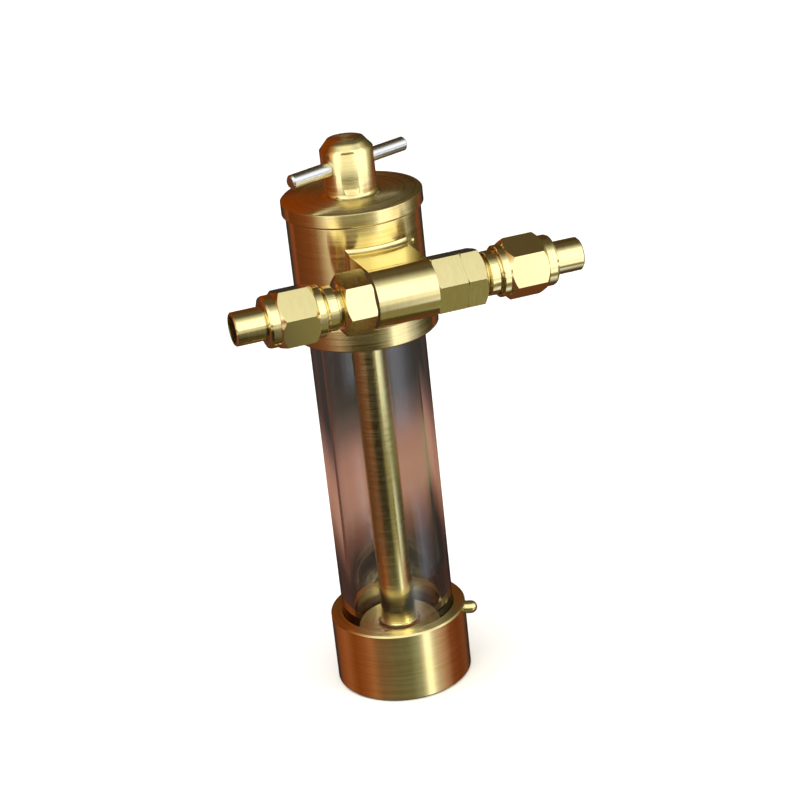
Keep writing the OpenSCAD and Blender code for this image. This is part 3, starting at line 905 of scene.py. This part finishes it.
# %% Give each piece its finish
FINISHES = {
    "brass": column_brass,
    "steel": steel,
    "glass": glass,
    "seal": rubber,
    "fibre": fibre,
}
ON_THE_LINE = ("union_", "nipple_", "lock_nut_", "barrel_", "steam_arm")
slots = {part["node"]: part["material_slot"] for part in frame["record"]["subparts"]}
for name, piece in nodes.items():
    finish = FINISHES[slots[name]]
    if finish is column_brass and name.startswith(ON_THE_LINE):
        finish = line_brass
    if name == "centre_rod":
        finish = rod_brass
    piece.data.materials.clear()
    piece.data.materials.append(finish)
print("pieces dressed:", len(nodes))

# %% [markdown]
# ## Real screw threads
#
# The engineering model has plain rings where the real cap and unions have a screw thread, because rings
# are simpler to cut and to check. Unscrew the cap and the difference shows at once: a thread climbs. A
# thread follows a rule, so Geometry Nodes make it. A grid is rolled into a tube whose rows climb by one
# pitch as they go once round, and the rows lie on a crest, down a flank, in the groove and up again.
# The rows meet themselves one pitch higher, and the seam is welded.

# %% The thread tool and its inputs
ROWS_IN_PITCH = 12
THREAD_SIDES = 64
THREAD_SIZES = ("Crest", "Core", "Inside", "Depth", "Pitch", "Length")

thread_tree = bpy.data.node_groups.new("screw thread", "GeometryNodeTree")
tool_sockets = [("Piece", "Geometry")]
tool_sockets += [(label, "Float") for label in THREAD_SIZES]
tool_sockets += [("Rows", "Int"), ("Place", "Vector"), ("Turn", "Vector"), ("Metal", "Material")]
for label, kind in tool_sockets:
    thread_tree.interface.new_socket(label, in_out="INPUT", socket_type="NodeSocket" + kind)
thread_tree.interface.new_socket("Threaded", in_out="OUTPUT", socket_type="NodeSocketGeometry")
asked = put(thread_tree, "NodeGroupInput").outputs
print("inputs of the thread tool:", ", ".join(label for label, kind in tool_sockets))

# %% [markdown]
# ## The rule: how high each point of the grid lies
#
# The grid is flat and 1 m square. Its width becomes the way round and its height the rows. Row 0 is the
# first on the outside. One more row comes before it, and two after the last: they close the tube's
# end faces and its inner wall. The rule is a table of sums. Each line has a name, what is done, and
# the names or numbers it is done to, and a loop turns every line into one node.

# %% The rule for the height
rule = [
    ("last row", "ADD", "Rows", 3),
    ("rows of points", "ADD", "last row", 1),
    ("turn share", "ADD", "grid x", 0.5),
    ("up share", "ADD", "grid y", 0.5),
    ("row", "MULTIPLY_ADD", "up share", "last row", -1),
    ("row rise", "DIVIDE", "Pitch", ROWS_IN_PITCH),
    ("turns behind", "SUBTRACT", "turn share", 1),
    ("turn rise", "MULTIPLY", "turns behind", "Pitch"),
    ("climb", "MULTIPLY_ADD", "row", "row rise", "turn rise"),
    ("climb past start", "MAXIMUM", "climb", 0),
    ("height", "MINIMUM", "climb past start", "Length"),
]
print("sums for the height:", len(rule))

# %% [markdown]
# ## The rule: how deep the groove is
#
# Across one pitch the thread has a narrow flat crest, a straight flank, a flat root and a flank again. A
# thread also runs out gently at both ends, so the cut fades within a little over half a pitch of each.

# %% The rule for the groove
FLANK_FROM = 0.18
FLANK_TO = 0.82
RUN_OUT_PITCHES = 0.6
# Row numbers come out a hair low or high, and this keeps each on its own side of a crest
ROW_NUDGE = 0.01

groove_sums = [
    ("nudged row", "ADD", "row", ROW_NUDGE),
    ("pitches", "DIVIDE", "nudged row", ROWS_IN_PITCH),
    ("in pitch", "FRACT", "pitches"),
    ("off root", "MULTIPLY_ADD", "in pitch", 2, -1),
    ("from root", "ABSOLUTE", "off root"),
    ("from crest", "SUBTRACT", 1, "from root"),
    ("past crest", "SUBTRACT", "from crest", FLANK_FROM),
    ("down flank", "DIVIDE", "past crest", FLANK_TO - FLANK_FROM),
    ("not above crest", "MAXIMUM", "down flank", 0),
    ("groove", "MINIMUM", "not above crest", 1),
    ("left over", "SUBTRACT", "Length", "height"),
    ("to end", "MINIMUM", "height", "left over"),
    ("pitches to end", "DIVIDE", "to end", "Pitch"),
    ("run out", "DIVIDE", "pitches to end", RUN_OUT_PITCHES),
    ("full depth", "MINIMUM", "run out", 1),
    ("cut share", "MULTIPLY", "groove", "full depth"),
    ("cut", "MULTIPLY", "cut share", "Depth"),
]
rule += groove_sums
print("sums for the groove:", len(groove_sums))

# %% [markdown]
# ## The rule: rolling the grid into a tube
#
# A row between the first and the last stands at the crest less the cut, and all others stand at the
# inside. The very last row drops back to the start, which closes the inner wall. The last four sums are
# for the cutter that takes the model's rings off, further on.

# %% The rule for the tube and for the cutter
# How far the cutter stands out past the crest, and how far it stops short of each end
RING_SPARE = 0.3 * MM
RING_END = 0.02 * MM
tube_sums = [
    ("past first", "GREATER_THAN", "row", -0.5),
    ("outside ends", "ADD", "Rows", 0.5),
    ("before last", "LESS_THAN", "row", "outside ends"),
    ("outside", "MULTIPLY", "past first", "before last"),
    ("crest less cut", "SUBTRACT", "Crest", "cut"),
    ("wall", "SUBTRACT", "crest less cut", "Inside"),
    ("out", "MULTIPLY_ADD", "wall", "outside", "Inside"),
    ("top ends", "ADD", "Rows", 1.5),
    ("stays up", "LESS_THAN", "row", "top ends"),
    ("angle", "MULTIPLY", "turn share", 2 * math.pi),
    ("cosine", "COSINE", "angle"),
    ("sine", "SINE", "angle"),
    ("tube x", "MULTIPLY", "out", "cosine"),
    ("tube y", "MULTIPLY", "out", "sine"),
    ("tube z", "MULTIPLY", "height", "stays up"),
    ("half length", "MULTIPLY", "Length", 0.5),
    ("cutter radius", "ADD", "Crest", RING_SPARE),
    ("cutter length", "SUBTRACT", "Length", 2 * RING_END),
    ("core length", "MULTIPLY", "Length", 2),
]
rule += tube_sums

grid_place = put(thread_tree, "GeometryNodeInputPosition").outputs[0]
spot = put(thread_tree, "ShaderNodeSeparateXYZ", {0: grid_place}).outputs
known = {label: asked[label] for label in (*THREAD_SIZES, "Rows")}
known.update({"grid x": spot["X"], "grid y": spot["Y"]})
for result_name, operation, *terms in rule:
    inputs = {number: known.get(term, term) for number, term in enumerate(terms)}
    known[result_name] = put(thread_tree, "ShaderNodeMath", inputs, operation=operation).outputs[0]
print("sums in the whole rule:", len(rule))

# %% [markdown]
# ## Roll the grid
#
# The grid's points move to their places on the tube. Then points that fall together are welded, which
# joins the seam and turns the sheet into one closed sleeve.

# %% The threaded sleeve
SEAM_WELD = 0.0005 * MM
grid_counts = {"Vertices X": THREAD_SIDES + 1, "Vertices Y": known["rows of points"]}
sheet = put(thread_tree, "GeometryNodeMeshGrid", {"Size X": 1.0, "Size Y": 1.0, **grid_counts}).outputs[0]
tube_place = {"X": known["tube x"], "Y": known["tube y"], "Z": known["tube z"]}
rolled = put(thread_tree, "ShaderNodeCombineXYZ", tube_place).outputs[0]
tube = put(thread_tree, "GeometryNodeSetPosition", {"Geometry": sheet, "Position": rolled}).outputs[0]
welded_tube = {"Geometry": tube, "Distance": SEAM_WELD}
sleeve = put(thread_tree, "GeometryNodeMergeByDistance", welded_tube).outputs[0]
print("points in each row of the sleeve:", THREAD_SIDES)

# %% [markdown]
# ## The cutter
#
# The model's rings come off with a washer-shaped cutter that leaves the core. It stands out past the crest,
# and it is a little shorter than the sleeve at each end, so that no two faces lie in one plane. Both
# the cutter and the sleeve are then carried to the place of the thread.

# %% The cutter, and both tools in their places
outer_size = {"Vertices": THREAD_SIDES, "Radius": known["cutter radius"], "Depth": known["cutter length"]}
inner_size = {"Vertices": THREAD_SIDES, "Radius": asked["Core"], "Depth": known["core length"]}
outer = put(thread_tree, "GeometryNodeMeshCylinder", outer_size).outputs[0]
inner = put(thread_tree, "GeometryNodeMeshCylinder", inner_size).outputs[0]
washer = put(
    thread_tree,
    "GeometryNodeMeshBoolean",
    {0: outer, 1: inner},
    operation="DIFFERENCE",
    solver="EXACT",
).outputs[0]
# A cylinder is made about its middle, and the sleeve starts at its end
middle = put(thread_tree, "ShaderNodeCombineXYZ", {"Z": known["half length"]}).outputs[0]
raised = {"Geometry": washer, "Translation": middle}
cutter = put(thread_tree, "GeometryNodeTransform", raised).outputs[0]
tools = []
for shape in (cutter, sleeve):
    carried = {"Geometry": shape, "Translation": asked["Place"], "Rotation": asked["Turn"]}
    tools.append(put(thread_tree, "GeometryNodeTransform", carried).outputs[0])
print("tools ready:", len(tools))

# %% [markdown]
# ## Cut the rings and put the thread on
#
# Two booleans do the work: the cutter is taken away, and the sleeve is joined on. The exact solver is
# slow but clean, and it is needed here, because the export wants closed solids. A last weld closes
# hairline gaps along the joint.

# %% The booleans and the tree's end
JOINT_WELD = 0.001 * MM
taken = {0: asked["Piece"], 1: tools[0]}
bare = put(thread_tree, "GeometryNodeMeshBoolean", taken, operation="DIFFERENCE", solver="EXACT").outputs[0]
given = {1: [bare, tools[1]]}
threaded = put(thread_tree, "GeometryNodeMeshBoolean", given, operation="UNION", solver="EXACT").outputs[0]
closing = {"Geometry": threaded, "Distance": JOINT_WELD}
welded = put(thread_tree, "GeometryNodeMergeByDistance", closing).outputs[0]
whole = put(thread_tree, "GeometryNodeRealizeInstances", {0: welded}).outputs[0]
metal_on = {"Geometry": whole, "Material": asked["Metal"]}
finished = put(thread_tree, "GeometryNodeSetMaterial", metal_on).outputs[0]
put(thread_tree, "NodeGroupOutput", {0: finished})
print("nodes in the thread tool:", len(thread_tree.nodes))

# %% [markdown]
# ## Use the tool
#
# A CAD piece arrives as loose triangles, so a copy of it is joined up first. The tool then runs on the
# copy as a modifier, and its result is kept as a plain mesh that takes the piece's place.


# %% A joined copy, and the tool run on it
def joined_copy(name):
    """A copy of a node's mesh whose triangles share their corners."""
    mesh = nodes[name].data.copy()
    shell = bmesh.new()
    shell.from_mesh(mesh)
    bmesh.ops.remove_doubles(shell, verts=shell.verts, dist=SEAM_WELD)
    shell.to_mesh(mesh)
    shell.free()
    return mesh


def run_tool(mesh, values):
    """The mesh that the thread tool makes from another one, with the tool's inputs by name."""
    blank = bpy.data.objects.new("thread_blank", mesh)
    scene.collection.objects.link(blank)
    modifier = blank.modifiers.new("thread", "NODES")
    modifier.node_group = thread_tree
    for item in thread_tree.interface.items_tree:
        if item.item_type == "SOCKET" and item.in_out == "INPUT" and item.name in values:
            modifier[item.identifier] = values[item.name]
    depsgraph = bpy.context.evaluated_depsgraph_get()
    result = bpy.data.meshes.new_from_object(blank.evaluated_get(depsgraph))
    blank.modifiers.remove(modifier)
    bpy.data.objects.remove(blank)
    return result


print("corners are joined within", SEAM_WELD / MM, "mm")

# %% [markdown]
# ## Three threads
#
# The cap has a pitch of 1 mm and each union one of 0.75 mm, as the joints of the model say. In the
# photograph the left hexagon stands a few degrees further round than the right one, as screwed pieces do, so
# that body is turned about the steam line after it is cut.


# %% A function that gives a piece its thread
def cut_thread(name, body, metal, sizes_mm, place_mm, turn_deg, sharp_deg, screwed_deg=0.0):
    """Replaces one node by the same piece with a real thread, turned about the steam line if asked."""
    values = {label: size * MM for label, size in sizes_mm.items()}
    values["Rows"] = round(ROWS_IN_PITCH * (sizes_mm["Length"] / sizes_mm["Pitch"] + 1))
    values["Place"] = [length * MM for length in place_mm]
    values["Turn"] = [math.radians(angle_deg) for angle_deg in turn_deg]
    values["Metal"] = metal
    result = run_tool(joined_copy(name), values)
    if screwed_deg:
        line_place = Matrix.Translation(LINE_CENTRE)
        screwed = Matrix.Rotation(math.radians(screwed_deg), 4, "X")
        result.transform(line_place @ screwed @ line_place.inverted())
    result.shade_smooth()
    result.set_sharp_from_angle(angle=math.radians(sharp_deg))
    made = bpy.data.objects.new(name + "_threaded", result)
    scene.collection.objects.link(made)
    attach(made, body)
    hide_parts(name)
    print(made.name, "has", len(result.polygons), "faces")


# %% Cut the three threads
# All in millimetres. Crest, Core and Inside are radii: the cutter leaves the core, and the sleeve's bore is
# a little smaller than that, so that the two overlap and join
UNION_THREAD = {"Crest": 3.34, "Core": 2.95, "Inside": 2.85, "Depth": 0.35, "Pitch": 0.75, "Length": 3.75}
CAP_THREAD = {"Crest": 5.94, "Core": 5.42, "Inside": 5.32, "Depth": 0.45, "Pitch": 1.0, "Length": 4.25}
# Millimetres from the end of each piece back to the start of its thread
LEFT_BACK_MM = 4.13
RIGHT_BACK_MM = 4.18
CAP_BACK_MM = 0.24
# Faces that meet at more than this angle keep a hard edge between them
UNION_SHARP_DEG = 12
CAP_SHARP_DEG = 25
LEFT_SCREWED_DEG = -6.4
LEFT_TURN_DEG = (0, -90, 0)

left_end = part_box("union_body_left")[0].x / MM
right_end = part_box("union_body_right")[1].x / MM
cap_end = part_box("filler_cap")[0].z / MM
left_place = (left_end + LEFT_BACK_MM, PIPE_Y / MM, PIPE_Z / MM)
right_place = (right_end - RIGHT_BACK_MM, PIPE_Y / MM, PIPE_Z / MM)
cap_place = (0, 0, cap_end + CAP_BACK_MM)
cut_thread(
    "union_body_left", "body", line_brass, UNION_THREAD, left_place, LEFT_TURN_DEG,
    sharp_deg=UNION_SHARP_DEG, screwed_deg=LEFT_SCREWED_DEG,
)
cut_thread(
    "union_body_right", "body", line_brass, UNION_THREAD, right_place, LINE_TURN_DEG,
    sharp_deg=UNION_SHARP_DEG,
)
cut_thread(
    "filler_cap", "cap", column_brass, CAP_THREAD, cap_place, (0, 0, 0),
    sharp_deg=CAP_SHARP_DEG,
)
